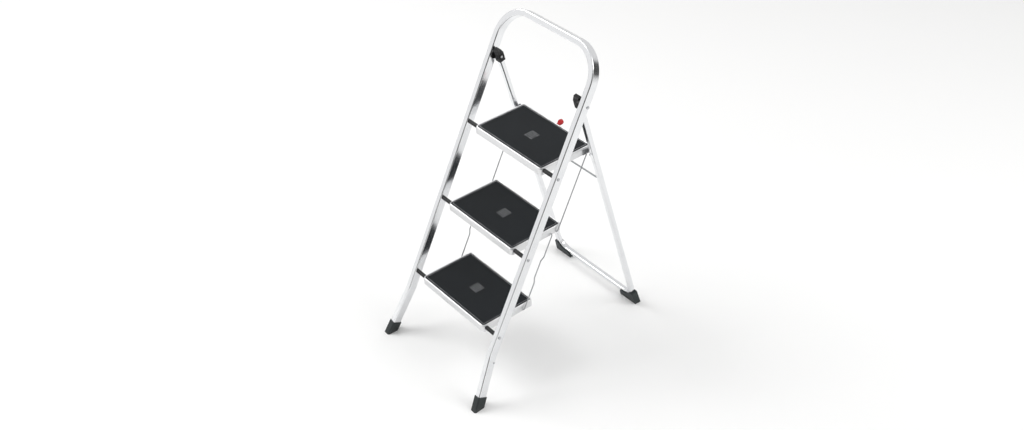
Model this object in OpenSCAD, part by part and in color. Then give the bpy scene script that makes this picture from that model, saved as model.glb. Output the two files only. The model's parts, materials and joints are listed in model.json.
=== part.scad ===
// Folding step stool: a bent-tube front frame, a bent-tube rear frame hinged inside it,
// and three trays that tilt on cross rods and are tied together by wire links.
// The stool stands open. +Z is up, +Y points to the rear frame and Z = 0 is the floor.

/* [Overall] */
// Height of the lowest mat above the floor
first_step_h = 225; // [190:1:260]
// Rise from one step to the next
step_rise = 232.5; // [195:0.5:280]
// Lean of the front frame from the vertical
front_lean = 28; // [24:0.5:31]
// Lean of the rear frame from the vertical
rear_lean = 14.5; // [12:0.5:18]
// Outside width of the front frame
front_w = 446; // [371:1:536]
// Height of the hoop's top above the top mat
hoop_rise = 344; // [300:1:420]
// Height of the hinge axis above the top mat
hinge_rise = 185; // [155:1:222]

/* [Front tube] */
// Width of the front tube across the stool
tube_w = 20; // [18:0.5:26]
// Depth of the front tube along the climb
tube_d = 30; // [26:0.5:38]
// Wall of both tubes
tube_wall = 1.5; // [1.2:0.1:2.5]
// Corner radius of both tubes
tube_r = 4; // [3:0.5:6]
// Outside radius of the hoop's two bends
hoop_r = 110; // [80:1:140]
// Outward splay of the lower legs
kink_angle = 7.3; // [0.5:0.1:10]
// Height of the splay's vertex above the floor
kink_h = 161; // [120:1:175]

/* [Front feet] */
// Wall of the rubber foot around the tube
foot_wall = 2.5; // [2:0.1:4]
// Length of the foot up the leg
foot_h = 47; // [35:1:60]
// Thickness of the sole under the tube
sole_t = 5; // [3:0.5:8]

/* [Rear frame] */
// Width of the rear tube across the stool
rear_w = 19; // [16:0.5:22]
// Depth of the rear tube
rear_d = 16; // [14:0.5:20]
// Gap between the rear legs and the front legs on each side
leg_gap = 7.5; // [6:0.1:10]
// Radius of the rear bends on the tube's centre line
rear_bend_r = 40; // [30:1:60]
// Height of the rear cross bar's underside above the floor
bar_h = 18; // [12:1:26]
// Distance from the hinge axis to the rear cross rod along the leg
cross_rod_s = 318.5; // [300:0.5:340]
// Diameter of the rear cross rod
cross_rod_dia = 5.5; // [4:0.1:7]
// Distance from the hinge axis to the stop pins along the leg
stop_pin_s = 221; // [205:1:235]
// Diameter of the stop pins
stop_pin_dia = 6; // [5:0.1:7]

/* [Rear shoes] */
// Wall of the rear shoe in front of and behind the tube
shoe_wall = 3.5; // [2.5:0.1:5]
// Length of the shoe along the floor
shoe_len = 75; // [60:1:90]
// Height of the shoe's outer side above the floor
shoe_h = 50; // [40:1:70]
// Part of the tube's width that the shoe's walls cover
shoe_lap = 9; // [6:0.5:12]

/* [Hinges] */
// Depth of the hinge axis behind the front face of the leg
hinge_depth = 22; // [18:0.5:24]
// Diameter of the hinge bolts
hinge_bolt_dia = 8; // [6:0.1:10]
// Wall of the black cap on the rear leg's end
cap_wall = 2.8; // [2:0.1:4]

/* [Treads] */
// Width of the tray outside its flanges
tray_w = 319; // [266:1:340]
// Depth of the tray outside its flanges
tray_d = 196; // [170:1:206]
// Height of the tray
tray_h = 22.5; // [20:0.5:26]
// Thickness of the tray's sheet
sheet_t = 1.5; // [1:0.1:2]
// Corner radius of the tray in plan
tray_r = 12; // [6:0.5:18]
// Width of the bare rim around the mat
rim_w = 6; // [4:0.5:10]
// Thickness of the mat
mat_t = 2.5; // [1.5:0.1:4]

/* [Tread rods] */
// Diameter of the rods that the trays turn on
rod_dia = 8; // [6:0.1:9]
// Distance of the rod behind the front face of the leg
rod_depth = 10.6; // [9:0.1:14]
// Distance of the rod behind the mat's front edge
rod_setback = 7.2; // [6:0.1:14]
// Distance of the rod below the mat's top
rod_drop = 10.2; // [9.8:0.1:11]
// Outside diameter of the black sleeves on the rods
sleeve_dia = 13; // [11:0.1:14]
// Outside diameter of the bushes in the trays
bush_dia = 11.6; // [10:0.1:12]

/* [Links] */
// Diameter of the link wire
wire_dia = 3.8; // [3:0.1:4.5]
// Clear space between a tray's side and the link beside it
link_gap = 3.6; // [3.2:0.1:5]
// Distance of the upper links' pivots behind the mat's front edge
upper_link_y = 167.5; // [155:0.5:170]
// Distance of the lower links' pivots behind the mat's front edge
lower_link_y = 148; // [135:0.5:150]
// Distance of all link pivots below the mat's top
link_drop = 20; // [18:0.1:21]
// Forward jog of the lower links
jog = 8; // [0.5:0.5:9]

/* [Catch] */
// Distance of the catch bar behind the mat's front edge
catch_y = 181; // [178:0.5:182]
// Distance of the catch bar below the mat's top
catch_drop = 12; // [11:0.5:13]
// Diameter of the catch bar
catch_bar_dia = 5; // [4:0.1:6]
// Thickness of the hook plates
hook_t = 3; // [2:0.1:4]
// Width of the release knob
knob_w = 18; // [14:0.5:24]
// Distance that the knob stands out behind the tray
knob_out = 25; // [18:0.5:32]

/* [Fits] */
// Radial running clearance of each pivot
run_gap = 0.05; // [0.02:0.01:0.1]
// Side clearance between pieces that move past each other
side_gap = 0.4; // [0.3:0.1:1]
// Clearance of fixed pieces in their sockets
seat_gap = 0.02; // [0.01:0.01:0.05]

/* [Hidden] */
$fn = 48;
tread_count = 3;
far = 400;                       // longer than any cut that has to run out of a piece

// Heights, and the frame lines seen from the side
top_step_h = first_step_h + (tread_count - 1) * step_rise;
hoop_top_h = top_step_h + hoop_rise;
hinge_h = top_step_h + hinge_rise;
hinge_y = hinge_h * tan(front_lean) + hinge_depth / cos(front_lean);
rear_leg_len = hinge_h / cos(rear_lean);
rear_foot_y = hinge_y + hinge_h * tan(rear_lean);

// Front frame across the stool
leg_x = front_w / 2 - tube_w / 2;
leg_inner_x = front_w / 2 - tube_w;
hoop_bend_r = hoop_r - tube_w / 2;
hoop_top_s = hundredths(hoop_top_h / cos(front_lean));
hoop_bend_s = hoop_top_s - hoop_r;
kink_s = hundredths(kink_h / cos(front_lean));
mitre_over = 2;                  // the lengths pass the mitre by this much, a step of a quarter millimetre

// Rear frame across the stool
rear_out_x = leg_inner_x - leg_gap;
rear_x = rear_out_x - rear_w / 2;
rear_inner_x = rear_out_x - rear_w;
bar_bottom_s = hundredths(rear_leg_len - bar_h / cos(rear_lean));
bar_s = bar_bottom_s - rear_w / 2;
shoe_d = rear_d + 2 * shoe_wall;
cap_lift = 10;                   // the rear tube's end above the hinge axis
cap_pit_dia = hinge_bolt_dia + 5;
bolt_pit = 0.4;                  // the cap's face stands back this far inside its ring
bolt_out = 1;

// The stool's middle from front to rear, between the front soles and the rear shoes
front_end_y = -foot_wall / cos(front_lean);
rear_end_y = rear_foot_y + shoe_d / 2 / cos(rear_lean);
mid_y = (front_end_y + rear_end_y) / 2;

// Treads: each is drawn with its mat's top front edge on the X axis
mat_w = tray_w - 2 * rim_w;
mat_d = tray_d - 2 * rim_w;
tray_front_y = -rim_w;
tray_rear_y = tray_d - rim_w;
tray_bottom_z = -mat_t - tray_h;
bush_in = 6;
bush_flange_t = 1.5;
bush_flange_dia = bush_dia + 1.6;
sleeve_in_x = tray_w / 2 + bush_flange_t + side_gap;
link_x = tray_w / 2 + link_gap + wire_dia / 2;
link_slack = 0.8;                // radial clearance at the links' lower ends
wire_in = 8;                     // the wire's ends reach this far inside the trays
ball_over = 0.16;                // the wire's corners are this much fuller
head_dia = 10;
head_t = 1.6;
head_lip = 0.5;                  // how far rods and bolts stand out of the leg, into their heads
rivet_down = 22;                 // the leg rivets' distance below the splay's vertex
rivet_depth = tube_d * 0.8;      // and behind the leg's front face

// Catch: hooks beside the links, stop pins on the rear legs
hook_in_x = link_x + wire_dia / 2 + 2.2;
bracket_t = 2;
arm_t = 5;                       // the release knob's arm
arm_gap = 1;                     // the gap round the arm in the tray's rear
arm_rise = 4;                    // and the room above it to lift
stop_pin = [rear_point(stop_pin_s)[0] - tread_y(2), rear_point(stop_pin_s)[1] - top_step_h];
pin_way = 45;                    // the pin leaves the hook forward and down at this angle
hook_clear = 0.4;
hook_r = stop_pin_dia / 2 + 4.5;

alu = [0.80, 0.81, 0.83];
dark_steel = [0.42, 0.43, 0.45];
black = [0.07, 0.07, 0.08];
rubber = [0.19, 0.21, 0.22];
red = [0.72, 0.05, 0.08];

// Lengths that tube pieces share are kept to hundredths, so their ends meet exactly
function hundredths(v) = round(v * 100) / 100;
function step_h(i) = first_step_h + i * step_rise;
function rod_h(i) = step_h(i) - rod_drop;
function rod_y(i) = rod_h(i) * tan(front_lean) + rod_depth / cos(front_lean);
function tread_y(i) = rod_y(i) - rod_setback;
function front_s(h, depth) = h / cos(front_lean) + depth * tan(front_lean);
function rear_point(s) = [hinge_y + s * sin(rear_lean), hinge_h - s * cos(rear_lean)];

// ---- places ----

// Puts the stool's middle on the origin
module stool() { translate([0, -mid_y, 0]) children(); }

// X across, Y up the front leg from the floor, Z = 0 on its front face and falling to its rear
module in_front_plane() { rotate([90 - front_lean, 0, 0]) children(); }

// X across, Y up the rear leg with 0 at the hinge axis, Z = 0 on its centre, rising to the front
module in_rear_plane() {
    translate([0, hinge_y, hinge_h]) rotate([90 + rear_lean, 0, 0]) children();
}

// A tread's own place: its mat's top front edge
module on_tread(i) { translate([0, tread_y(i), step_h(i)]) children(); }

module both_sides() {
    children();
    mirror([1, 0, 0]) children();
}

module side(s) {
    if (s < 0) mirror([1, 0, 0]) children();
    else children();
}

module below_floor(height = 0) {
    translate([-far, -far, height - far]) cube([2 * far, 4 * far, far]);
}

// ---- shared shapes ----

module round_rect(w, d, r) {
    square([w - 2 * r, d], center = true);
    square([w, d - 2 * r], center = true);
    for (x = [-1, 1], y = [-1, 1]) translate([x * (w / 2 - r), y * (d / 2 - r)]) circle(r);
}

// A bar along X with its left end at x
module x_bar(x, length, dia) { translate([x, 0, 0]) rotate([0, 90, 0]) cylinder(d = dia, h = length); }

// A straight stretch of tube section along Y
module tube_run(y, length, w, d, r) {
    translate([0, y, 0]) rotate([-90, 0, 0]) linear_extrude(length) round_rect(w, d, r);
}

// A bend of tube section round the Z axis, from one angle through a turn
module tube_bend(bend_r, from, turn, w, d, r) {
    rotate([0, 0, from]) rotate_extrude(angle = turn) translate([bend_r, 0]) round_rect(w, d, r);
}

// Round wire from point to point, with a slightly fuller ball at each corner
module wire(points, dia) {
    for (i = [0 : len(points) - 2]) {
        v = points[i + 1] - points[i];
        translate(points[i]) rotate([0, acos(v[2] / norm(v)), atan2(v[1], v[0])])
            cylinder(d = dia, h = norm(v));
        if (i > 0) translate(points[i]) sphere(d = dia + ball_over);
    }
}

// ---- front frame ----

// The hoop and both legs as one solid section; run_on lengthens the lower ends.
// The splay is a mitre: each leg's two lengths pass the vertex just far enough to close it.
module front_section(w, d, r, run_on) {
    past = w / 2 * tan(kink_angle / 2) + mitre_over;
    translate([0, 0, -tube_d / 2]) {
        both_sides() {
            translate([leg_x, 0, 0]) tube_run(kink_s - past, hoop_bend_s - kink_s + past, w, d, r);
            translate([leg_x - hoop_bend_r, hoop_bend_s, 0]) tube_bend(hoop_bend_r, 0, 90, w, d, r);
            lower_leg() tube_run(-kink_s - run_on, kink_s + run_on + past, w, d, r);
        }
        translate([-leg_x + hoop_bend_r, hoop_top_s - tube_w / 2, 0]) rotate([0, 0, -90])
            tube_run(0, 2 * (leg_x - hoop_bend_r), w, d, r);
    }
}

// The splayed lower leg's own line, with Y = 0 at the splay's vertex
module lower_leg() { translate([leg_x, kink_s, 0]) rotate([0, 0, kink_angle]) children(); }

module front_frame() {
    color(alu) stool() difference() {
        in_front_plane() difference() {
            front_section(tube_w, tube_d, tube_r, tube_d);
            front_section(tube_w - 2 * tube_wall, tube_d - 2 * tube_wall, tube_r - tube_wall,
                2 * tube_d);
        }
        below_floor(sole_t);
        for (i = [0 : tread_count - 1]) translate([0, rod_y(i), rod_h(i)])
            x_bar(-far, 2 * far, rod_dia + 2 * seat_gap);
        translate([0, hinge_y, hinge_h]) x_bar(-far, 2 * far, hinge_bolt_dia + 2 * seat_gap);
    }
}

module front_foot(s) {
    color(rubber) stool() side(s) difference() {
        in_front_plane() translate([0, 0, -tube_d / 2]) lower_leg() difference() {
            tube_run(-kink_s - tube_d, foot_h + tube_d,
                tube_w + 2 * foot_wall, tube_d + 2 * foot_wall, tube_r + foot_wall / 2);
            tube_run(-kink_s - 2 * tube_d, far,
                tube_w + 2 * seat_gap, tube_d + 2 * seat_gap, tube_r);
        }
        below_floor();
    }
    color(rubber) stool() side(s) intersection() {
        in_front_plane() translate([0, 0, -tube_d / 2]) lower_leg()
            tube_run(-kink_s - 2 * tube_d, foot_h + tube_d,
                tube_w + foot_wall, tube_d + foot_wall, tube_r);
        translate([0, -far, 0]) cube([far, 2 * far, sole_t - seat_gap]);
    }
}

// Small rivets low on the outer faces, near the splay's vertex
module leg_rivets() {
    rivet_dia = 6;
    rivet_t = 1.1;
    color(dark_steel) stool() in_front_plane() both_sides() translate([0, 0, -rivet_depth])
        lower_leg() translate([0, -rivet_down, 0]) x_bar(tube_w / 2 + seat_gap, rivet_t, rivet_dia);
}

// ---- rear frame ----

module rear_section(w, d, r, run_on) {
    both_sides() {
        translate([rear_x, 0, 0])
            tube_run(-bar_s + rear_bend_r, bar_s - rear_bend_r + cap_lift + run_on, w, d, r);
        translate([rear_x - rear_bend_r, -bar_s + rear_bend_r, 0])
            tube_bend(rear_bend_r, 270, 90, w, d, r);
    }
    translate([-rear_x + rear_bend_r, -bar_s, 0]) rotate([0, 0, -90])
        tube_run(0, 2 * (rear_x - rear_bend_r), w, d, r);
}

module rear_frame() {
    r_out = min(tube_r, rear_d / 4);
    color(alu) stool() in_rear_plane() difference() {
        rear_section(rear_w, rear_d, r_out, 0);
        rear_section(rear_w - 2 * tube_wall, rear_d - 2 * tube_wall, r_out - tube_wall, 1);
        x_bar(-far, 2 * far, hinge_bolt_dia + 2 * run_gap);
        both_sides() {
            translate([0, -cross_rod_s, 0])
                x_bar(rear_inner_x - 1, rear_w / 2, cross_rod_dia + 2 * seat_gap);
            translate([0, -stop_pin_s, 0])
                x_bar(rear_inner_x - 1, rear_w / 2, stop_pin_dia + 2 * seat_gap);
        }
    }
}

// The shape inside the rear frame's outer edge, grown by a clearance
module rear_outline(grow) {
    x = rear_out_x + grow;
    y = -bar_bottom_s - grow;
    r = rear_bend_r + rear_w / 2 + grow;
    translate([0, y + r]) square([x, far]);
    translate([0, y]) square([x - r, far]);
    translate([x - r, y + r]) circle(r);
}

module rear_shoe(s) {
    sole_s = -rear_leg_len - shoe_d / 2;
    outer_x = rear_out_x + shoe_wall;
    toe = 6;                     // the outer side leans out this far on its way to the floor
    lip_r = rear_bend_r + rear_w / 2 - shoe_lap;
    lip_x = rear_out_x - shoe_lap;
    lip_y = -bar_bottom_s + shoe_lap;
    color(rubber) stool() side(s) difference() {
        in_rear_plane() difference() {
            translate([0, 0, -shoe_d / 2]) linear_extrude(shoe_d) difference() {
                polygon([[outer_x, -rear_leg_len + shoe_h], [outer_x + toe, sole_s],
                    [outer_x + toe - shoe_len, sole_s],
                    [outer_x + toe - shoe_len, lip_y - shoe_lap / 2],
                    [outer_x + toe - shoe_len + shoe_lap, lip_y],
                    [outer_x + toe - shoe_len + shoe_lap, -rear_leg_len + shoe_h]]);
                translate([0, lip_y + lip_r]) square([lip_x, far]);
                translate([0, lip_y]) square([lip_x - lip_r, far]);
                translate([lip_x - lip_r, lip_y + lip_r]) circle(lip_r);
            }
            translate([0, 0, -rear_d / 2 - seat_gap]) linear_extrude(rear_d + 2 * seat_gap)
                rear_outline(seat_gap);
        }
        below_floor();
    }
}

module rear_cross_rod() {
    reach = rear_inner_x + rear_w / 2 - tube_wall;
    color(dark_steel) stool() in_rear_plane() translate([0, -cross_rod_s, 0])
        x_bar(-reach, 2 * reach, cross_rod_dia);
}

// Headed pins on the rear legs' inner faces, where the catch hooks hold
module stop_pins() {
    pin_head_t = 1.3;
    pin_head_dia = stop_pin_dia + 2.4;
    head_x = hook_in_x - side_gap - pin_head_t;
    color(dark_steel) stool() in_rear_plane() both_sides() translate([0, -stop_pin_s, 0]) {
        x_bar(head_x, rear_inner_x + rear_w / 2 - tube_wall - head_x, stop_pin_dia);
        x_bar(head_x, pin_head_t, pin_head_dia);
    }
}

// ---- hinges ----

module hinge_plate(s) {
    plate_dia = tube_d - 1;
    boss_dia = tube_d * 0.8;
    plate_t = leg_gap - side_gap;
    color(black) stool() side(s) in_front_plane()
        translate([leg_inner_x - plate_t, front_s(hinge_h, hinge_depth), 0]) difference() {
            union() {
                translate([0, 0, -tube_d / 2]) x_bar(0, plate_t, plate_dia);
                translate([0, 0, -hinge_depth]) x_bar(0, plate_t, boss_dia);
            }
            translate([0, 0, -hinge_depth])
                x_bar(-plate_t, 3 * plate_t, hinge_bolt_dia + 2 * seat_gap);
        }
}

module hinge_cap(s) {
    half_d = rear_d / 2 + cap_wall;
    inner_x = rear_inner_x - cap_wall;
    skirt = 17;                  // the cap's reach below the hinge axis
    shoulder = 13;               // its straight sides' reach above
    peak = 26;                   // and its top
    ring_w = 2;
    ring_t = 1.2;
    color(black) stool() side(s) in_rear_plane() difference() {
        union() {
            translate([inner_x, 0, 0]) rotate([90, 0, 90]) linear_extrude(rear_out_x - inner_x)
                polygon([[-skirt, -half_d], [shoulder, -half_d], [peak, -half_d / 2],
                    [peak, half_d / 3], [shoulder, half_d], [-skirt, half_d]]);
            x_bar(inner_x - ring_t, ring_t, cap_pit_dia + 2 * ring_w);
        }
        translate([rear_x, 0, 0]) tube_run(-far, far + cap_lift + seat_gap,
            rear_w + 2 * seat_gap, rear_d + 2 * seat_gap, min(tube_r, rear_d / 4));
        x_bar(0, far, hinge_bolt_dia + 2 * run_gap);
        x_bar(inner_x - 2 * ring_t, 2 * ring_t - bolt_pit, cap_pit_dia);
    }
}

module hinge_bolt(s) {
    end_x = rear_inner_x - cap_wall - bolt_out;
    color(dark_steel) stool() side(s) translate([0, hinge_y, hinge_h]) {
        x_bar(end_x, front_w / 2 + head_lip - end_x, hinge_bolt_dia);
        x_bar(front_w / 2 + seat_gap, head_t, head_dia);
    }
}

// ---- treads ----

module tray(i, catch_holes = false) {
    color(alu) stool() on_tread(i) difference() {
        translate([0, tray_front_y + tray_d / 2, tray_bottom_z])
            linear_extrude(tray_h) round_rect(tray_w, tray_d, tray_r);
        translate([0, tray_front_y + tray_d / 2, tray_bottom_z - 1])
            linear_extrude(tray_h + 1 - sheet_t)
                round_rect(tray_w - 2 * sheet_t, tray_d - 2 * sheet_t, tray_r - sheet_t);
        translate([0, rod_setback, -rod_drop]) x_bar(-far, 2 * far, bush_dia + 2 * seat_gap);
        if (i < tread_count - 1)
            translate([0, i == 1 ? upper_link_y : lower_link_y, -link_drop])
                x_bar(-far, 2 * far, wire_dia + 2 * link_slack);
        if (i > 0)
            translate([0, i == 2 ? upper_link_y : lower_link_y, -link_drop])
                x_bar(-far, 2 * far, wire_dia + 2 * run_gap);
        if (catch_holes) {
            translate([0, catch_y, -catch_drop]) x_bar(-far, 2 * far, catch_bar_dia + 2 * run_gap);
            translate([-knob_w / 4 - arm_gap, tray_rear_y - 2 * sheet_t,
                -catch_drop - arm_t / 2 - arm_gap])
                cube([knob_w / 2 + 2 * arm_gap, far, arm_t + arm_gap + arm_rise]);
        }
    }
}

// Flanged bushes in the tray's sides, which turn on the fixed rod
module tray_bushes(i) {
    color(black) stool() on_tread(i) translate([0, rod_setback, -rod_drop]) both_sides()
        difference() {
            union() {
                x_bar(tray_w / 2 - bush_in, bush_in + bush_flange_t, bush_dia);
                x_bar(tray_w / 2 + seat_gap, bush_flange_t - seat_gap, bush_flange_dia);
            }
            x_bar(0, far, rod_dia + 2 * run_gap);
        }
}

module mat(i) {
    color(black) stool() on_tread(i)
        translate([0, mat_d / 2, -mat_t]) linear_extrude(mat_t)
            round_rect(mat_w, mat_d, max(tray_r - rim_w, 2));
}

module pivot_rod(i) {
    half = front_w / 2 + head_lip;
    color(dark_steel) stool() translate([0, rod_y(i), rod_h(i)]) {
        x_bar(-half, 2 * half, rod_dia);
        both_sides() x_bar(front_w / 2 + seat_gap, head_t, head_dia);
    }
}

module rod_sleeves(i) {
    color(black) stool() translate([0, rod_y(i), rod_h(i)]) both_sides() difference() {
        x_bar(sleeve_in_x, leg_inner_x - seat_gap - sleeve_in_x, sleeve_dia);
        x_bar(0, far, rod_dia + 2 * seat_gap);
    }
}

// ---- links ----

// One wire link from tread i down to tread i - 1, straight or with a forward jog
module link(i, y, s, jogged) {
    drop_v = [0, tread_y(i - 1) - tread_y(i), step_h(i - 1) - step_h(i)];
    in_x = tray_w / 2 - wire_in;
    function along(share, forward) = [link_x, y, -link_drop] + share * drop_v
        - forward * [0, 1, 0];
    color(dark_steel) stool() on_tread(i) side(s)
        wire(concat([[in_x, y, -link_drop], along(0, 0)],
            jogged ? [along(0.29, 0), along(0.33, jog), along(0.55, jog), along(0.63, 0)] : [],
            [along(1, 0), [in_x, y, -link_drop] + drop_v]), wire_dia);
}

// ---- catch ----

// Steel plates on the top tray's rear corners, which carry the links and the catch bar
module catch_brackets() {
    plate_front = upper_link_y - 12;
    plate_rear = tray_rear_y - 2;
    plate_inset = 0.5;
    color(dark_steel) stool() on_tread(2) both_sides() difference() {
        translate([tray_w / 2 + seat_gap, plate_front, tray_bottom_z + plate_inset])
            cube([bracket_t, plate_rear - plate_front, tray_h - 10 * plate_inset]);
        translate([0, upper_link_y, -link_drop]) x_bar(0, far, wire_dia + 2 * run_gap);
        translate([0, catch_y, -catch_drop]) x_bar(0, far, catch_bar_dia + 2 * run_gap);
    }
}

module catch_bar() {
    end_x = hook_in_x + hook_t;
    color(dark_steel) stool() on_tread(2) translate([0, catch_y, -catch_drop])
        x_bar(-end_x, 2 * end_x, catch_bar_dia);
}

// A hook plate: a hub on the catch bar and a claw that holds the stop pin from above and behind
module catch_hook(s) {
    pin_y = stop_pin[0];
    pin_z = stop_pin[1];
    slot = stop_pin_dia + 2 * hook_clear;
    hub_wall = 3.5;
    color(dark_steel) stool() on_tread(2) side(s)
        translate([hook_in_x, 0, 0]) rotate([90, 0, 90]) linear_extrude(hook_t) difference() {
            union() {
                translate([catch_y, -catch_drop]) circle(catch_bar_dia / 2 + hub_wall);
                translate([pin_y, pin_z]) circle(hook_r);
                translate([catch_y - hub_wall, pin_z]) square([hook_r, -catch_drop - pin_z]);
            }
            translate([pin_y, pin_z]) circle(slot / 2);
            translate([pin_y, pin_z]) rotate(180 + pin_way)
                translate([0, -slot / 2]) square([far, slot]);
            translate([pin_y - far, pin_z - slot / 2 + 1]) square([far, slot]);
            translate([catch_y, -catch_drop]) circle(catch_bar_dia / 2 + seat_gap);
        }
}

// Double torsion spring on the catch bar, a coil of fine wire on each side of the knob
module catch_spring() {
    turns = 5;
    spring_wire = 1.2;
    pitch = 1.6;
    coil_r = catch_bar_dia / 2 + spring_wire / 2 + 0.5;
    coil_x = knob_w / 4 + 2;
    rings = turns * 12;
    sides = 6;
    points = [for (k = [0 : rings], j = [0 : sides - 1])
        let (t = k / rings, a = 360 * j / sides, r = coil_r + spring_wire / 2 * cos(a),
            q = 360 * t * turns)
        [t * turns * pitch + spring_wire / 2 * sin(a), r * cos(q), r * sin(q)]];
    walls = [for (k = [0 : rings - 1], j = [0 : sides - 1])
        let (n = (j + 1) % sides)
        [k * sides + j, (k + 1) * sides + j, (k + 1) * sides + n, k * sides + n]];
    ends = [[for (j = [0 : sides - 1]) j], [for (j = [sides - 1 : -1 : 0]) rings * sides + j]];
    color(dark_steel) stool() on_tread(2) both_sides()
        translate([coil_x, catch_y, -catch_drop]) polyhedron(points, concat(walls, ends));
}

// Red release lever: a hub on the bar, an arm through the rear flange and a rounded knob
module release_knob() {
    arm_w = knob_w / 2;
    arm_end = tray_rear_y - catch_y + knob_out / 3;
    knob_y = tray_rear_y - catch_y + knob_out - knob_w / 2;
    knob_t = 7;
    knob_up = 8;
    knob_tilt = 28;
    neck = knob_w / 2 + 4;
    neck_w = arm_w + 2;
    hub_wall = 2.5;
    color(red) stool() on_tread(2) translate([0, catch_y, -catch_drop]) difference() {
        union() {
            x_bar(-arm_w / 2, arm_w, catch_bar_dia + 2 * hub_wall);
            translate([-arm_w / 2, 0, -arm_t / 2]) cube([arm_w, arm_end, arm_t]);
            translate([0, knob_y, knob_up]) rotate([knob_tilt, 0, 0])
                translate([0, 0, -knob_t / 2]) {
                    cylinder(d = knob_w, h = knob_t);
                    translate([-neck_w / 2, -neck, 0]) cube([neck_w, neck, knob_t]);
                }
        }
        x_bar(-far, 2 * far, catch_bar_dia + 2 * seat_gap);
    }
}

front_frame();
front_foot(-1);  // front_foot_left
front_foot(1);  // front_foot_right
rear_frame();
rear_shoe(-1);  // rear_shoe_left
rear_shoe(1);  // rear_shoe_right
rear_cross_rod();
stop_pins();
hinge_plate(-1);  // hinge_plate_left
hinge_plate(1);  // hinge_plate_right
hinge_cap(-1);  // hinge_cap_left
hinge_cap(1);  // hinge_cap_right
hinge_bolt(-1);  // hinge_bolt_left
hinge_bolt(1);  // hinge_bolt_right
leg_rivets();
pivot_rod(2);  // pivot_rod_top
pivot_rod(1);  // pivot_rod_middle
pivot_rod(0);  // pivot_rod_bottom
rod_sleeves(2);  // rod_sleeves_top
rod_sleeves(1);  // rod_sleeves_middle
rod_sleeves(0);  // rod_sleeves_bottom
tray(2, true);  // tray_top
tray(1);  // tray_middle
tray(0);  // tray_bottom
tray_bushes(2);  // tray_bushes_top
tray_bushes(1);  // tray_bushes_middle
tray_bushes(0);  // tray_bushes_bottom
mat(2);  // mat_top
mat(1);  // mat_middle
mat(0);  // mat_bottom
link(2, upper_link_y, -1, false);  // link_upper_left
link(2, upper_link_y, 1, false);  // link_upper_right
link(1, lower_link_y, -1, true);  // link_lower_left
link(1, lower_link_y, 1, true);  // link_lower_right
catch_brackets();
catch_bar();
catch_hook(-1);  // catch_hook_left
catch_hook(1);  // catch_hook_right
catch_spring();
release_knob();
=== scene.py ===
import json
import math

import bmesh
import bpy
from mathutils import Matrix, Vector


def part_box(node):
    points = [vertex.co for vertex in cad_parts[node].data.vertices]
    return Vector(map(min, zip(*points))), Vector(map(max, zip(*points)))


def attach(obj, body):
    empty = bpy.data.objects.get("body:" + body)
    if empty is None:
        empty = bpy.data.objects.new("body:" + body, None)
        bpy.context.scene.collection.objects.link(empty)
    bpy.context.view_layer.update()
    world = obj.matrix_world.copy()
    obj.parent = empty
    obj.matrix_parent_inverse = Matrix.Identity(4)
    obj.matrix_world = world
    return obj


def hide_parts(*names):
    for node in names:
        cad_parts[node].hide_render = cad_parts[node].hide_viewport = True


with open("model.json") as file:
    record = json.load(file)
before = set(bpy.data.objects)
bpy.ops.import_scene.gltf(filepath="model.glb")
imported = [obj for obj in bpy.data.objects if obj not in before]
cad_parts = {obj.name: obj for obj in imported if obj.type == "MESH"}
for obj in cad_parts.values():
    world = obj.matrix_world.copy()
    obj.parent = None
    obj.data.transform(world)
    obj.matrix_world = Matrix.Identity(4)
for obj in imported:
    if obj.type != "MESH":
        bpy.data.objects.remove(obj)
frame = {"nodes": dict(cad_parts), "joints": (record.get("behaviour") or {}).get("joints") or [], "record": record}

print("folding step stool: frame loaded")

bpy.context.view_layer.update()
joints = {j["name"]: j for j in frame["joints"]}
bodyOf = {node: body for body, nodes in frame["record"]["behaviour"]["bodies"].items() for node in nodes}
levels = ("top", "middle", "bottom")
mm = 0.001


cameraSet = {
    "place": (2.5114, -1.8542, 2.7747),
    "yaw": -0.9176, "pitch": -0.6249, "roll": -0.05,  # radians
    "sensor": 36, "lens": 44.09, "shift": (-0.0151, -0.0236),
}


def makeCamera():
    yaw, pitch, roll = (cameraSet[k] for k in ("yaw", "pitch", "roll"))
    ahead = Vector((math.cos(pitch) * math.sin(yaw), math.cos(pitch) * math.cos(yaw), math.sin(pitch)))
    right = ahead.cross(Vector((0, 0, 1))).normalized()
    up = right.cross(ahead)
    turned = right * math.cos(roll) + up * math.sin(roll)
    raised = up * math.cos(roll) - right * math.sin(roll)
    facing = Matrix((turned, raised, -ahead)).transposed().to_4x4()
    data = bpy.data.cameras.new("camera")
    data.lens = cameraSet["lens"]
    data.sensor_width = cameraSet["sensor"]
    data.shift_x, data.shift_y = cameraSet["shift"]
    cam = bpy.data.objects.new("camera", data)
    cam.matrix_world = Matrix.Translation(cameraSet["place"]) @ facing
    bpy.context.scene.collection.objects.link(cam)
    bpy.context.scene.camera = cam


class Signal:
    # a socket that takes part in Python expressions
    def __init__(self, graph, socket):
        self.graph = graph
        self.socket = socket

    def join(self, work, a, b):
        kind = self.socket.type
        if kind == "RGBA":
            return self.graph.mixed(a, b, 1.0, work)
        if kind == "VECTOR":
            a, b = ((v,) * 3 if isinstance(v, (int, float)) else v for v in (a, b))
            return self.graph.node("VectorMath", {"operation": work}, {0: a, 1: b})
        return self.graph.node("Math", {"operation": work}, {0: a, 1: b})

    def __add__(self, other):
        return self.join("ADD", self, other)

    def __radd__(self, other):
        return self.join("ADD", other, self)

    def __sub__(self, other):
        return self.join("SUBTRACT", self, other)

    def __rsub__(self, other):
        return self.join("SUBTRACT", other, self)

    def __mul__(self, other):
        return self.join("MULTIPLY", self, other)

    def __rmul__(self, other):
        return self.join("MULTIPLY", other, self)


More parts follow.
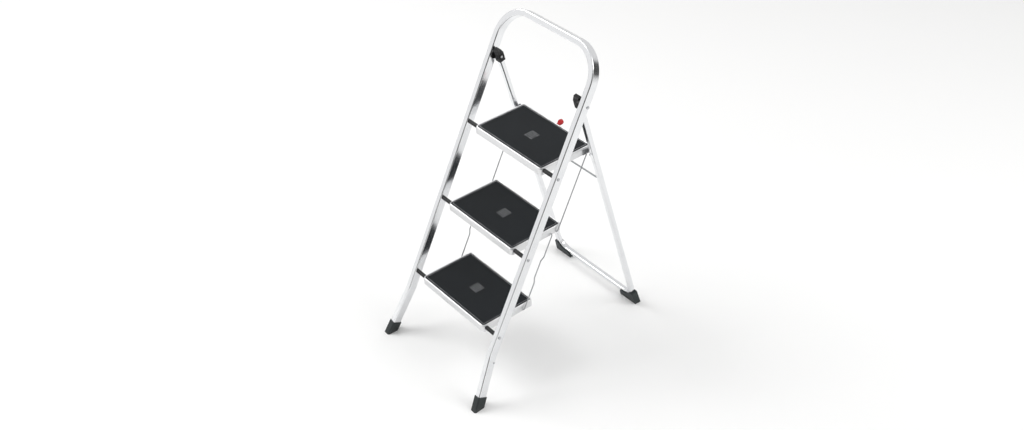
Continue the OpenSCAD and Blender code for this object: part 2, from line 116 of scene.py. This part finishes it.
class Graph:
    def __init__(self, tree):
        self.tree = tree

    def node(self, kind, settings=None, inputs=None, out=0):
        # settings go in first, then the sockets' values or links
        made = self.tree.nodes.new("ShaderNode" + kind)
        for key, value in (settings or {}).items():
            setattr(made, key, value)
        for key, value in (inputs or {}).items():
            if isinstance(value, Signal):
                self.tree.links.new(value.socket, made.inputs[key])
            else:
                made.inputs[key].default_value = value
        return Signal(self, made.outputs[out])

    def mixed(self, a, b, share, blend="MIX"):
        # sockets 6 and 7 are the Mix node's two colours, and its output 2 is their mixture
        a, b = (c if isinstance(c, Signal) else (*c, 1) for c in (a, b))
        return self.node("Mix", {"data_type": "RGBA", "blend_type": blend}, {0: share, 6: a, 7: b}, 2)

    def noise(self, where, scale, detail=3.0, rough=0.5):
        inputs = {"Vector": where, "Scale": scale, "Detail": detail, "Roughness": rough}
        return self.node("TexNoise", {}, inputs)

    def ramp(self, value, low, high):
        # a soft step, 0 at low and 1 at high
        inputs = {"Value": value, "From Min": low, "From Max": high}
        return self.node("MapRange", {"interpolation_type": "SMOOTHSTEP"}, inputs)

    def place(self):
        return self.node("TexCoord", {}, {}, "Object")

    def part(self, vector, axis):
        return self.node("SeparateXYZ", {}, {0: vector}, "xyz".index(axis))

    def attribute(self, name):
        return self.node("Attribute", {"attribute_name": name}, {}, "Fac")

    def edges(self, low=0.52, high=0.6):
        # 1 on outer edges, 0 on flat and hollow places
        return self.ramp(self.node("NewGeometry", {}, {}, "Pointiness"), low, high)


class Finish(Graph):
    # one material: its varying values are links, its fixed ones sit on the shader's own sockets
    def __init__(self, name, fixed):
        self.material = bpy.data.materials.new(name)
        self.material.use_nodes = True
        super().__init__(self.material.node_tree)
        self.shader = self.tree.nodes["Principled BSDF"]
        for key, value in fixed.items():
            self.shader.inputs[key].default_value = value

    def set(self, key, signal):
        self.tree.links.new(signal.socket, self.shader.inputs[key])

    def bump(self, height, distance, strength=1.0):
        inputs = {"Height": height, "Distance": distance, "Strength": strength}
        self.set("Normal", self.node("Bump", {}, inputs))


tubeLook = {
    "bright": (0.87, 0.875, 0.885), "dull": (0.76, 0.77, 0.79), "rough": 0.14,
    "along": 5.0, "round": 1300.0,  # how fine the drawing lines are, along the tube and round it
}


def polishedTube():
    f = Finish("polishedTube", {"Metallic": 1.0})
    run = f.attribute("run") * tubeLook["along"]
    turn = f.attribute("turn") * tubeLook["round"]
    lines = f.noise(f.node("CombineXYZ", {}, {0: run, 1: turn}), 1.0, 4.0, 0.6)
    cloud = f.noise(f.place(), 8.0, 3.0)
    smear = f.ramp(f.noise(f.place(), 30.0, 5.0, 0.65), 0.46, 0.74)
    dull = 0.5 * cloud + 0.3 * smear + 0.2 * lines
    f.set("Base Color", f.mixed(tubeLook["bright"], tubeLook["dull"], dull))
    f.set("Roughness", tubeLook["rough"] + 0.08 * lines + 0.08 * smear)
    f.bump(lines, 0.01 * mm, 0.5)
    return f.material


trayLook = {
    "light": (0.80, 0.80, 0.805), "deep": (0.68, 0.685, 0.695), "edge": (0.92, 0.92, 0.92), "rough": 0.27,
    "brush": (40.0, 900.0, 900.0),  # brushed across the tray
}


def trayMetal():
    f = Finish("trayMetal", {"Metallic": 1.0})
    grain = f.noise(f.place() * trayLook["brush"], 1.0, 3.0, 0.55)
    cloud = f.noise(f.place(), 14.0, 3.0)
    rubbed = f.edges() * f.ramp(f.noise(f.place(), 60.0, 4.0), 0.35, 0.6)
    tone = f.mixed(trayLook["light"], trayLook["deep"], cloud)
    f.set("Base Color", f.mixed(tone, trayLook["edge"], rubbed))
    f.set("Roughness", trayLook["rough"] + 0.10 * grain + 0.05 * cloud - 0.08 * rubbed)
    f.bump(grain, 0.02 * mm, 0.35)
    return f.material


matLook = {
    "deep": (0.0075, 0.0093, 0.0113), "light": (0.0125, 0.0148, 0.0172), "dust": (0.045, 0.047, 0.05),
    "rough": 0.46, "ribPitch": 2.4 * mm,
}


def matRubber():
    f = Finish("matRubber", {"Specular IOR Level": 0.16})
    across = f.part(f.place(), "x") * (2 * math.pi / matLook["ribPitch"])
    ribs = f.node("Math", {"operation": "SINE"}, {0: across})
    grain = f.noise(f.place(), 1500.0, 2.0)
    cloud = f.noise(f.place(), 11.0, 4.0, 0.6)
    dust = f.ramp(f.noise(f.place(), 45.0, 6.0, 0.7), 0.56, 0.78)
    tone = f.mixed(matLook["deep"], matLook["light"], cloud)
    f.set("Base Color", f.mixed(tone, matLook["dust"], 0.25 * dust))
    f.set("Roughness", matLook["rough"] + 0.14 * cloud + 0.08 * dust)
    f.bump(0.5 * ribs + 0.6 * grain, 0.12 * mm, 0.6)
    return f.material


# painted highlight: the bead is painted light grey to stand for the thin line of light along the mat's border;
# deep is its darker grey and worn its lighter grey
beadHighlightLook = {"deep": (0.20, 0.205, 0.215), "worn": (0.46, 0.465, 0.475), "rough": 0.34}


def beadPaintedHighlight():
    f = Finish("beadPaintedHighlight", {"Specular IOR Level": 0.5})
    grain = f.noise(f.place(), 900.0, 2.0)
    # the painted highlight gets lighter still in the worn patches
    worn = f.ramp(f.noise(f.place(), 38.0, 5.0, 0.7), 0.38, 0.66)
    f.set("Base Color", f.mixed(beadHighlightLook["deep"], beadHighlightLook["worn"], worn))
    f.set("Roughness", beadHighlightLook["rough"] + 0.2 * grain)
    f.bump(grain, 0.05 * mm, 0.4)
    return f.material


markLook = {"light": (0.19, 0.195, 0.20), "worn": (0.09, 0.093, 0.097), "rough": 0.45}


def markRubber():
    f = Finish("markRubber", {"Specular IOR Level": 0.3})
    grain = f.noise(f.place(), 1200.0, 2.0)
    worn = f.ramp(f.noise(f.place(), 130.0, 3.0), 0.4, 0.65)
    f.set("Base Color", f.mixed(markLook["light"], markLook["worn"], worn))
    f.set("Roughness", markLook["rough"] + 0.2 * grain)
    f.bump(grain, 0.08 * mm, 0.5)
    return f.material


plasticLook = {
    "deep": (0.006, 0.0062, 0.007), "light": (0.011, 0.0112, 0.012), "edge": (0.05, 0.05, 0.052),
    "rough": 0.30,
}


def blackPlastic():
    f = Finish("blackPlastic", {"Specular IOR Level": 0.28})
    grain = f.noise(f.place(), 900.0, 3.0)
    cloud = f.noise(f.place(), 55.0, 3.0)
    rubbed = f.edges() * f.ramp(f.noise(f.place(), 140.0, 4.0), 0.4, 0.65)
    tone = f.mixed(plasticLook["deep"], plasticLook["light"], cloud)
    f.set("Base Color", f.mixed(tone, plasticLook["edge"], rubbed))
    f.set("Roughness", plasticLook["rough"] + 0.16 * grain + 0.08 * cloud)
    f.bump(grain, 0.06 * mm, 0.5)
    return f.material


footLook = {
    "deep": (0.024, 0.0295, 0.031), "light": (0.038, 0.0455, 0.047), "dust": (0.12, 0.12, 0.115),
    "rough": 0.46,
    "dustHeight": 16 * mm,  # dust fades out at this height above the ground
}


def footRubber():
    f = Finish("footRubber", {"Specular IOR Level": 0.3})
    height = f.part(f.place(), "z")
    grain = f.noise(f.place(), 700.0, 3.0)
    cloud = f.noise(f.place(), 70.0, 4.0, 0.6)
    dust = f.ramp(height, footLook["dustHeight"], 0.0) * f.ramp(cloud, 0.35, 0.7)
    tone = f.mixed(footLook["deep"], footLook["light"], cloud)
    f.set("Base Color", f.mixed(tone, footLook["dust"], 0.5 * dust))
    f.set("Roughness", footLook["rough"] + 0.18 * cloud + 0.12 * dust)
    f.bump(grain, 0.1 * mm, 0.6)
    return f.material


platedLook = {
    "bright": (0.56, 0.57, 0.59), "dull": (0.40, 0.41, 0.42), "rough": 0.20, "drawn": (60.0, 1500.0, 1500.0),
}


def platedSteel():
    f = Finish("platedSteel", {"Metallic": 1.0})
    cloud = f.noise(f.place(), 120.0, 4.0, 0.6)
    grain = f.noise(f.place() * platedLook["drawn"], 1.0, 3.0)
    f.set("Base Color", f.mixed(platedLook["bright"], platedLook["dull"], cloud))
    f.set("Roughness", platedLook["rough"] + 0.10 * cloud + 0.08 * grain)
    f.bump(grain, 0.01 * mm, 0.4)
    return f.material


darkLook = {
    "light": (0.33, 0.335, 0.345), "deep": (0.20, 0.205, 0.21), "edge": (0.45, 0.45, 0.46), "rough": 0.30,
}


def darkSteel():
    f = Finish("darkSteel", {"Metallic": 0.85})
    cloud = f.noise(f.place(), 150.0, 4.0, 0.6)
    rubbed = f.edges() * f.ramp(cloud, 0.4, 0.65)
    tone = f.mixed(darkLook["light"], darkLook["deep"], cloud)
    f.set("Base Color", f.mixed(tone, darkLook["edge"], rubbed))
    f.set("Roughness", darkLook["rough"] + 0.12 * cloud)
    f.bump(cloud, 0.03 * mm, 0.4)
    return f.material


knobLook = {"light": (0.52, 0.0015, 0.005), "deep": (0.38, 0.001, 0.004), "rough": 0.24, "coat": 0.08}


def redPlastic():
    f = Finish("redPlastic", {"Specular IOR Level": 0.25, "Coat Roughness": 0.12})
    cloud = f.noise(f.place(), 160.0, 4.0)
    grain = f.noise(f.place(), 900.0, 2.0)
    f.set("Base Color", f.mixed(knobLook["light"], knobLook["deep"], cloud))
    f.set("Roughness", knobLook["rough"] + 0.10 * cloud)
    f.set("Coat Weight", knobLook["coat"] + 0.12 * cloud)
    f.bump(grain, 0.04 * mm, 0.3)
    return f.material


makers = (
    polishedTube, trayMetal, matRubber, beadPaintedHighlight, markRubber,
    blackPlastic, footRubber, platedSteel, darkSteel, redPlastic,
)
finishes = {make.__name__: make() for make in makers}
print("finishes made:", len(finishes))


# angles in degrees: faces nearer to level than flat are joined, and edges sharper than soften are rounded
shaping = {"weld": 1e-6, "flat": 1, "soften": 30, "shapedSharp": 40, "tubeSharp": 40, "traySharp": 45}


def makePiece(name, bm, finish, body, replaced=(), bevel=0.0, segments=3, sharp=60):
    bmesh.ops.recalc_face_normals(bm, faces=bm.faces)
    mesh = bpy.data.meshes.new(name)
    bm.to_mesh(mesh)
    bm.free()
    mesh.shade_smooth()
    mesh.set_sharp_from_angle(angle=math.radians(sharp))
    piece = bpy.data.objects.new(name, mesh)
    bpy.context.scene.collection.objects.link(piece)
    mesh.materials.append(finishes[finish])
    if bevel:
        edge = piece.modifiers.new("edges", "BEVEL")
        edge.width = bevel
        edge.segments = segments
        edge.limit_method = "ANGLE"
        edge.angle_limit = math.radians(shaping["soften"])
    shade = piece.modifiers.new("normals", "WEIGHTED_NORMAL")
    shade.keep_sharp = True
    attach(piece, body)
    if replaced:
        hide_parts(*replaced)


def softened(node, finish, bevel, segments):
    # the node's own shape with its edges rounded
    bm = bmesh.new()
    bm.from_mesh(frame["nodes"][node].data)
    bmesh.ops.remove_doubles(bm, verts=bm.verts, dist=shaping["weld"])
    bmesh.ops.dissolve_limit(bm, angle_limit=math.radians(shaping["flat"]), verts=bm.verts, edges=bm.edges)
    makePiece(node + "_shaped", bm, finish, bodyOf[node], [node], bevel, segments, shaping["shapedSharp"])


def roundedLoop(w, d, r, steps):
    # points of a rounded rectangle, anticlockwise
    points = []
    for k, (sx, sy) in enumerate(((1, 1), (-1, 1), (-1, -1), (1, -1))):
        for i in range(steps + 1):
            a = math.pi / 2 * (k + i / steps)
            points.append((sx * (w / 2 - r) + r * math.cos(a), sy * (d / 2 - r) + r * math.sin(a)))
    return points


def bridge(bm, a, b):
    # a band of faces between two rows of points
    for i in range(len(a)):
        j = (i + 1) % len(a)
        bm.faces.new((a[i], a[j], b[j], b[i]))


def loft(bm, loops, closed=False):
    # a skin over a run of loops, either closed on itself or with its two ends capped
    rows = [[bm.verts.new(p) for p in loop] for loop in loops]
    for a, b in zip(rows, rows[1:]):
        bridge(bm, a, b)
    if closed:
        bridge(bm, rows[-1], rows[0])
    else:
        bm.faces.new(list(reversed(rows[0])))
        bm.faces.new(rows[-1])


def arc(centre, radius, start, end, steps):
    points = []
    for i in range(steps + 1):
        a = math.radians(start + (end - start) * i / steps)
        points.append((centre[0] + radius * math.cos(a), centre[1] + radius * math.sin(a)))
    return points


def filleted(points, radius, steps=6, most=0.45):
    # a path with its corners rounded, each bend using at most this share of a straight
    points = [Vector(p) for p in points]
    out = [points[0]]
    for before, corner, after in zip(points, points[1:], points[2:]):
        a = before - corner
        b = after - corner
        half = a.angle(b) / 2
        reach = min(radius / math.tan(half), a.length * most, b.length * most)
        r = reach * math.tan(half)
        a, b = a.normalized(), b.normalized()
        middle = corner + (a + b).normalized() * (r / math.sin(half))
        u = corner + a * reach - middle
        v = corner + b * reach - middle
        turn = u.angle(v)
        for i in range(steps + 1):
            t = i / steps
            out.append(middle + (u * math.sin((1 - t) * turn) + v * math.sin(t * turn)) / math.sin(turn))
    return out + [points[-1]]


def ringAt(centre, side, other, radius, sides):
    turns = [2 * math.pi * i / sides for i in range(sides)]
    return [centre + (side * math.cos(a) + other * math.sin(a)) * radius for a in turns]


# share of the radius, and how far from the end in radii
dome = {"inset": 0.5, "start": 0.3, "rings": [(0.55, -0.30), (0.88, -0.10)]}


def roundWire(bm, points, radius, sides=16):
    # a round wire along a path, its ends softly domed
    points = [Vector(p) for p in points]
    steps = [(b - a).normalized() for a, b in zip(points, points[1:])]
    tangents = [steps[0]] + [(a + b).normalized() for a, b in zip(steps, steps[1:])] + [steps[-1]]
    side = tangents[0].orthogonal().normalized()
    last = len(points) - 1
    loops = []
    for k, (p, t) in enumerate(zip(points, tangents)):
        side = (side - t * side.dot(t)).normalized()
        other = t.cross(side)
        if k == 0:
            for share, along in dome["rings"]:
                spot = p + t * (dome["start"] + along) * radius
                loops.append(ringAt(spot, side, other, share * radius, sides))
            p = p + t * dome["inset"] * radius
        if k == last:
            loops.append(ringAt(p - t * dome["inset"] * radius, side, other, radius, sides))
            for share, along in reversed(dome["rings"]):
                spot = p - t * (dome["start"] + along) * radius
                loops.append(ringAt(spot, side, other, share * radius, sides))
        else:
            loops.append(ringAt(p, side, other, radius, sides))
    loft(bm, loops)


rodTop, rodMiddle, rodBottom = (Vector(joints[f"tread_{level}_tilt"]["pos_m"]) for level in levels)
hinge = Vector(joints["rear_frame_fold"]["pos_m"])
lowCross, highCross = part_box("rear_cross_rod")
crossRod = (lowCross + highCross) / 2

tube = {
    "wide": 20 * mm, "deep": 30 * mm, "wall": 1.5 * mm, "corner": 4 * mm,
    "hoopBend": 100 * mm, "splay": 7.3, "splayBend": 90 * mm, "splayRise": 161 * mm,
    "rodDepth": 10.6 * mm,  # from the front face back to the treads' rods
    "endsAbove": 20 * mm,  # the legs' ends stand this high inside the feet
    "rearWide": 19 * mm, "rearDeep": 16 * mm, "rearBend": 40 * mm, "rearCorner": 4 * mm,
    "rearPastHinge": 9.5 * mm,
    "hoopSteps": 28, "splaySteps": 8, "rearSteps": 18, "cornerSteps": 6,
}


class Plane:
    # a frame's plane: across is X, along runs up the legs, and depth runs towards the rear
    def __init__(self, origin, along):
        self.origin = origin
        self.along = along.normalized()
        self.rear = Vector((0, self.along.z, -self.along.y))

    def at(self, x, s, depth=0.0):
        return self.origin + Vector((x, 0, 0)) + self.along * s + self.rear * depth


frontUp = (rodTop - rodBottom).normalized()
frontRear = Vector((0, frontUp.z, -frontUp.y))
onFace = rodBottom - frontRear * tube["rodDepth"]
front = Plane(onFace - frontUp * (onFace.z / frontUp.z), frontUp)
front.origin.x = 0  # the frames are drawn from the stool's middle
rear = Plane(hinge, hinge - crossRod)


def sweptTube(name, plane, path, depth, w, d, corner, body):
    # a hollow rounded-rectangle section along a path in a plane
    bm = bmesh.new()
    runLayer = bm.verts.layers.float.new("run")
    turnLayer = bm.verts.layers.float.new("turn")
    wall, steps = tube["wall"], tube["cornerSteps"]
    outer = roundedLoop(w, d, corner, steps)
    inner = roundedLoop(w - 2 * wall, d - 2 * wall, corner - wall, steps)

    def lengths(points):
        # how far along each point lies, which the drawing lines follow
        so = [0.0]
        for a, b in zip(points, points[1:]):
            so.append(so[-1] + math.dist(a, b))
        return so

    def rows(section):
        made = []
        girth = lengths(section)
        for k, ((x, s), run) in enumerate(zip(path, lengths(path))):
            before, after = path[max(k - 1, 0)], path[min(k + 1, len(path) - 1)]
            ahead = Vector((after[0] - before[0], after[1] - before[1])).normalized()
            row = []
            for (across, back), turn in zip(section, girth):
                v = bm.verts.new(plane.at(x + ahead.y * across, s - ahead.x * across, depth + back))
                v[runLayer] = run
                v[turnLayer] = turn
                row.append(v)
            made.append(row)
        return made

    outside, inside = rows(outer), rows(inner)
    for skin in (outside, inside):
        for a, b in zip(skin, skin[1:]):
            bridge(bm, a, b)
    for end in (0, -1):
        bridge(bm, outside[end], inside[end])
    makePiece(name, bm, "polishedTube", body, [body], sharp=shaping["tubeSharp"])


def mirrored(half):
    return half + [(-x, s) for x, s in reversed(half)]


def frontPath():
    # half of the hoop from the left foot up, then the same mirrored
    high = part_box("front_frame")[1]
    upper = [v.co.x for v in frame["nodes"]["front_frame"].data.vertices if v.co.z > rodBottom.z]
    legX = max(upper) - tube["wide"] / 2
    c, up = tube["corner"], front.along
    topS = (high.z - c + c * up.y) / up.z + c - tube["wide"] / 2
    bend = tube["hoopBend"]
    kinkS = tube["splayRise"] / front.along.z
    splay = math.radians(tube["splay"])
    reach = tube["splayBend"] * math.tan(splay / 2)
    endS = tube["endsAbove"] / front.along.z
    down = (kinkS - endS) / math.cos(splay)
    foot = (legX + down * math.sin(splay), kinkS - down * math.cos(splay))
    kinkCentre = (legX + tube["splayBend"], kinkS + reach)
    kink = arc(kinkCentre, tube["splayBend"], 180 + tube["splay"], 180, tube["splaySteps"])
    hoop = arc((legX - bend, topS - bend), bend, 0, 90, tube["hoopSteps"])
    return mirrored([foot] + kink + hoop)


def rearPath():
    # from the left hinge down, round the bottom bend and along the bar, then the same mirrored
    low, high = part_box("rear_frame")
    x = high.x - tube["rearWide"] / 2
    c, r, up = tube["rearCorner"], tube["rearBend"], rear.along
    fall = hinge.z - low.z - c - (tube["rearDeep"] / 2 - c) * abs(up.y)
    barS = tube["rearWide"] / 2 - c - fall / up.z
    bend = arc((x - r, barS + r), r, 0, -90, tube["rearSteps"])
    return mirrored([(x, tube["rearPastHinge"])] + bend)


sweptTube("front_tube", front, frontPath(), tube["deep"] / 2, tube["wide"], tube["deep"], tube["corner"],
          "front_frame")
sweptTube("rear_tube", rear, rearPath(), 0.0, tube["rearWide"], tube["rearDeep"], tube["rearCorner"],
          "rear_frame")
print("tubes swept")


tray = {
    "sheet": 1.5 * mm, "fold": 2.4 * mm, "corner": 12 * mm, "leastCorner": 1.5 * mm,
    "rim": 5.6 * mm, "rise": 2.0 * mm,  # the rim's width, and how far it stands above the pan
    "lip": 0.9 * mm, "shoulder": 0.25 * mm,  # how far in the rim's outer foot and the shoulder under it stand
    "seat": 4 * mm,  # how far the sheet runs on under the mat
    "dip": 0.35, "shoulderAt": 0.8, "wallAt": 1.4,  # down the rim's outside, in shares of the fold
    "cornerSteps": 9, "rimSteps": 8, "edgeSteps": 6, "underSteps": 5,
}


def makeTray(level):
    low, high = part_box(f"tray_{level}")
    centre, size = (low + high) / 2, high - low
    t, fold, rim, lip, top = tray["sheet"], tray["fold"], tray["rim"], tray["lip"], high.z
    reach = (rim - lip) / 2

    def loop(inset, z):
        r = max(tray["corner"] - inset, tray["leastCorner"])
        section = roundedLoop(size.x - 2 * inset, size.y - 2 * inset, r, tray["cornerSteps"])
        return [(centre.x + x, centre.y + y, z) for x, y in section]

    # from the seat of the mat over the raised rim
    steps = [(rim + tray["seat"], top), (rim, top)]
    count = tray["rimSteps"]
    for i in range(1, count + 1):
        a = math.pi / count * i
        dip = fold * tray["dip"] if i == count else 0.0
        steps.append((lip + reach + reach * math.cos(a), top + tray["rise"] * math.sin(a) - dip))
    steps.append((tray["shoulder"], top - fold * tray["shoulderAt"]))
    steps.append((0, top - fold * tray["wallAt"]))
    # round the wall's lower edge
    for i in range(tray["edgeSteps"] + 1):
        a = math.pi / tray["edgeSteps"] * i
        steps.append((t / 2 - t / 2 * math.cos(a), low.z + t / 2 - t / 2 * math.sin(a)))
    # back up inside and under the top
    for i in range(tray["underSteps"] + 1):
        a = math.pi / 2 / tray["underSteps"] * i
        steps.append((fold - (fold - t) * math.cos(a), top - fold + (fold - t) * math.sin(a)))
    steps.append((rim + tray["seat"], top - t))
    bm = bmesh.new()
    loft(bm, [loop(i, z) for i, z in steps])
    node = f"tray_{level}"
    makePiece(node + "_pan", bm, "trayMetal", f"tread_{level}", [node], sharp=shaping["traySharp"])


mat = {
    "round": 0.6 * mm, "corner": 6 * mm, "leastCorner": 1.2 * mm,
    "cornerSteps": 7, "roundSteps": 4, "beadSteps": 8,
    "sunk": 0.5 * mm,  # the field lies this far below the border line's top
    "border": 3.4 * mm, "bead": 1.7 * mm, "groove": 0.3 * mm, "slope": 0.1 * mm,
    "beadStart": 0.05 * mm, "beadFoot": 0.25 * mm,  # how deep in the groove the line's sides and its foot are
    "pip": 3.0 * mm, "pipPitch": 7.2 * mm, "pipRise": 0.4 * mm, "pipSides": 20,
    "pipsEachWay": 2,  # out from the middle one
    "pipShape": [(1.0, -0.5), (0.96, 0.45), (0.8, 0.85), (0.45, 1.0)],  # shares of the radius and the rise
}


def makeMat(level):
    low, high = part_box(f"mat_{level}")
    centre, size = (low + high) / 2, high - low
    body = f"tread_{level}"

    def loop(inset, z):
        r = max(mat["corner"] - inset, mat["leastCorner"])
        section = roundedLoop(size.x - 2 * inset, size.y - 2 * inset, r, mat["cornerSteps"])
        return [(centre.x + x, centre.y + y, z) for x, y in section]

    top, r, border, bead = high.z - mat["sunk"], mat["round"], mat["border"], mat["bead"]
    steps = [(0, low.z)]
    for i in range(mat["roundSteps"] + 1):
        a = math.pi / 2 / mat["roundSteps"] * i
        steps.append((r - r * math.cos(a), top - r + r * math.sin(a)))
    steps.append((border, top))
    steps.append((border + mat["slope"], top - mat["groove"]))
    steps.append((border + bead - mat["slope"], top - mat["groove"]))
    steps.append((border + bead, top))
    bm = bmesh.new()
    loft(bm, [loop(i, z) for i, z in steps])
    makePiece(f"mat_{level}_rubber", bm, "matRubber", body, [f"mat_{level}"])

    # the raised line round the border stands in its own groove
    ring = []
    for i in range(mat["beadSteps"] + 1):
        a = math.pi * i / mat["beadSteps"]
        across = border + bead * (0.5 - 0.4 * math.cos(a))
        ring.append((across, top - mat["beadStart"] + mat["sunk"] * math.sin(a)))
    ring.append((border + bead * 0.9, top - mat["beadFoot"]))
    ring.append((border + bead * 0.1, top - mat["beadFoot"]))
    bm = bmesh.new()
    loft(bm, [loop(i, z) for i, z in ring], closed=True)
    # the line's light grey finish is a painted highlight along the mat's border
    makePiece(f"mat_{level}_bead", bm, "beadPaintedHighlight", body)

    # a plain square of round pips in the middle
    bm = bmesh.new()
    turns = [2 * math.pi / mat["pipSides"] * n for n in range(mat["pipSides"])]
    eachWay = range(-mat["pipsEachWay"], mat["pipsEachWay"] + 1)
    for i in eachWay:
        for j in eachWay:
            spot = Vector((centre.x + i * mat["pipPitch"], centre.y + j * mat["pipPitch"], top))
            circles = []
            for share, lift in mat["pipShape"]:
                reach, z = share * mat["pip"], lift * mat["pipRise"]
                circles.append([spot + Vector((reach * math.cos(a), reach * math.sin(a), z)) for a in turns])
            loft(bm, circles)
    makePiece(f"mat_{level}_pips", bm, "markRubber", body)


for level in levels:
    makeTray(level)
    makeMat(level)
print("treads made")


wire = {
    "radius": 1.9 * mm, "bend": 5.5 * mm, "inside": 13.5 * mm,
    "jog": 8 * mm, "jogAt": (0.29, 0.33, 0.55, 0.63),  # how far forward, and shares of the way down
}


def makeLink(height, side):
    node = f"link_{height}_{side}"
    pivot = Vector(joints[node + "_swing"]["pos_m"])
    fall = (rodMiddle - rodTop) if height == "upper" else (rodBottom - rodMiddle)
    inward = Vector((-math.copysign(wire["inside"], pivot.x), 0, 0))

    def at(share, forward=0.0):
        return pivot + fall * share - Vector((0, forward, 0))

    points = [pivot + inward, at(0)]
    if height == "lower":
        leave, out, back, home = wire["jogAt"]
        points += [at(leave), at(out, wire["jog"]), at(back, wire["jog"]), at(home)]
    points += [at(1), at(1) + inward]
    bm = bmesh.new()
    roundWire(bm, filleted(points, wire["bend"]), wire["radius"])
    makePiece(node + "_wire", bm, "platedSteel", node, [node])


for side in ("left", "right"):
    makeLink("upper", side)
    makeLink("lower", side)
print("links bent")


spring = {
    "turns": 5, "wire": 0.6 * mm, "pitch": 1.6 * mm, "clear": 0.5 * mm, "bar": 2.5 * mm,
    "turnSteps": 20, "sides": 8,
}


def makeSpring():
    # two coils, one each side of the knob, round the catch bar
    low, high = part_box("catch_spring")
    bar = Vector(joints["catch_release"]["pos_m"])
    r = spring["bar"] + spring["clear"] + spring["wire"]
    start = high.x - spring["turns"] * spring["pitch"] - spring["wire"]
    each = spring["turnSteps"]
    bm = bmesh.new()
    for sign in (-1, 1):
        points = []
        for k in range(spring["turns"] * each + 1):
            a = 2 * math.pi * k / each
            x = sign * (start + spring["pitch"] * k / each)
            points.append((x, bar.y + r * math.cos(a), bar.z + r * math.sin(a)))
        roundWire(bm, points, spring["wire"], spring["sides"])
    makePiece("catch_spring_coils", bm, "platedSteel", "tread_top", ["catch_spring"])


makeSpring()
print("spring wound")


# edge width and segments for each finish
edgeSizes = {
    "blackPlastic": (0.9 * mm, 3), "footRubber": (1.4 * mm, 4), "platedSteel": (0.6 * mm, 3),
    "darkSteel": (0.5 * mm, 2), "redPlastic": (1.8 * mm, 5),
}
shaped = {
    "footRubber": ["front_foot_left", "front_foot_right", "rear_shoe_left", "rear_shoe_right"],
    "blackPlastic": ["hinge_plate_left", "hinge_plate_right", "hinge_cap_left", "hinge_cap_right",
                     "rod_sleeves_top", "rod_sleeves_middle", "rod_sleeves_bottom",
                     "tray_bushes_top", "tray_bushes_middle", "tray_bushes_bottom"],
    "platedSteel": ["rear_cross_rod", "stop_pins", "hinge_bolt_left", "hinge_bolt_right", "leg_rivets",
                    "pivot_rod_top", "pivot_rod_middle", "pivot_rod_bottom"],
    "darkSteel": ["catch_brackets", "catch_bar", "catch_hook_left", "catch_hook_right"],
    "redPlastic": ["release_knob"],
}
for finish, nodes in shaped.items():
    for node in nodes:
        softened(node, finish, *edgeSizes[finish])
print("moulded and pressed pieces shaped")


studio = {
    "floor": 7.0, "floorColour": (0.965, 0.965, 0.96), "floorSides": 96,
    "room": 0.78, "seen": 0.88,  # how bright the room is in the pieces, and behind them
    "dark": [  # azimuth, elevation, inner and outer angle in degrees, depth
        (132, 7, 26, 48, 0.93),
        (35, 3, 15, 27, 0.92),
    ],
    "soft": [  # place, width, watts
        ((-2.6, -1.6, 3.4), 2.4, 78),
        ((2.4, 1.9, 3.0), 2.0, 36),
        ((-2.4, -2.8, 1.2), 3.0, 3),
    ],
    "aim": (0, 0, 0.5),
}


def makeFloor():
    bm = bmesh.new()
    bmesh.ops.create_circle(bm, cap_ends=True, segments=studio["floorSides"], radius=studio["floor"])
    mesh = bpy.data.meshes.new("floor")
    bm.to_mesh(mesh)
    bm.free()
    floor = bpy.data.objects.new("floor", mesh)
    bpy.context.scene.collection.objects.link(floor)
    f = Finish("paleFloor", {"Specular IOR Level": 0.1})
    pale = studio["floorColour"]
    shade = tuple(c * 0.99 for c in pale)
    f.set("Base Color", f.mixed(pale, shade, f.noise(f.place(), 3.0)))
    f.set("Roughness", 0.7 + 0.1 * f.noise(f.place(), 20.0))
    mesh.materials.append(f.material)


def makeLights():
    for i, (spot, size, power) in enumerate(studio["soft"]):
        data = bpy.data.lights.new(f"soft{i}", "AREA")
        data.shape = "DISK"
        data.size = size
        data.energy = power
        lamp = bpy.data.objects.new(f"soft{i}", data)
        lamp.location = spot
        lamp.rotation_mode = "QUATERNION"
        lamp.rotation_quaternion = (Vector(studio["aim"]) - Vector(spot)).to_track_quat("-Z", "Y")
        bpy.context.scene.collection.objects.link(lamp)


def makeRoom():
    # a pale room with two dark openings, which the polished tubes pick up
    world = bpy.data.worlds.new("studio")
    bpy.context.scene.world = world
    world.use_nodes = True
    g = Graph(world.node_tree)
    way = g.node("TexCoord", {}, {}, "Generated")
    level = studio["room"]
    for azimuth, elevation, inner, outer, depth in studio["dark"]:
        a, e = math.radians(azimuth), math.radians(elevation)
        aim = (math.sin(a) * math.cos(e), math.cos(a) * math.cos(e), math.sin(e))
        facing = g.node("VectorMath", {"operation": "DOT_PRODUCT"}, {0: way, 1: aim}, "Value")
        opening = g.ramp(facing, math.cos(math.radians(outer)), math.cos(math.radians(inner)))
        level = level * (1 - depth * opening)
    seen = g.node("LightPath", {}, {}, "Is Camera Ray")
    level = level * (1 - seen) + studio["seen"] * seen
    background = world.node_tree.nodes["Background"]
    world.node_tree.links.new(level.socket, background.inputs["Strength"])
    background.inputs["Color"].default_value = (1, 1, 1, 1)
    bpy.context.scene.view_settings.view_transform = "Standard"


makeCamera()
makeFloor()
makeLights()
makeRoom()
print("stage set")
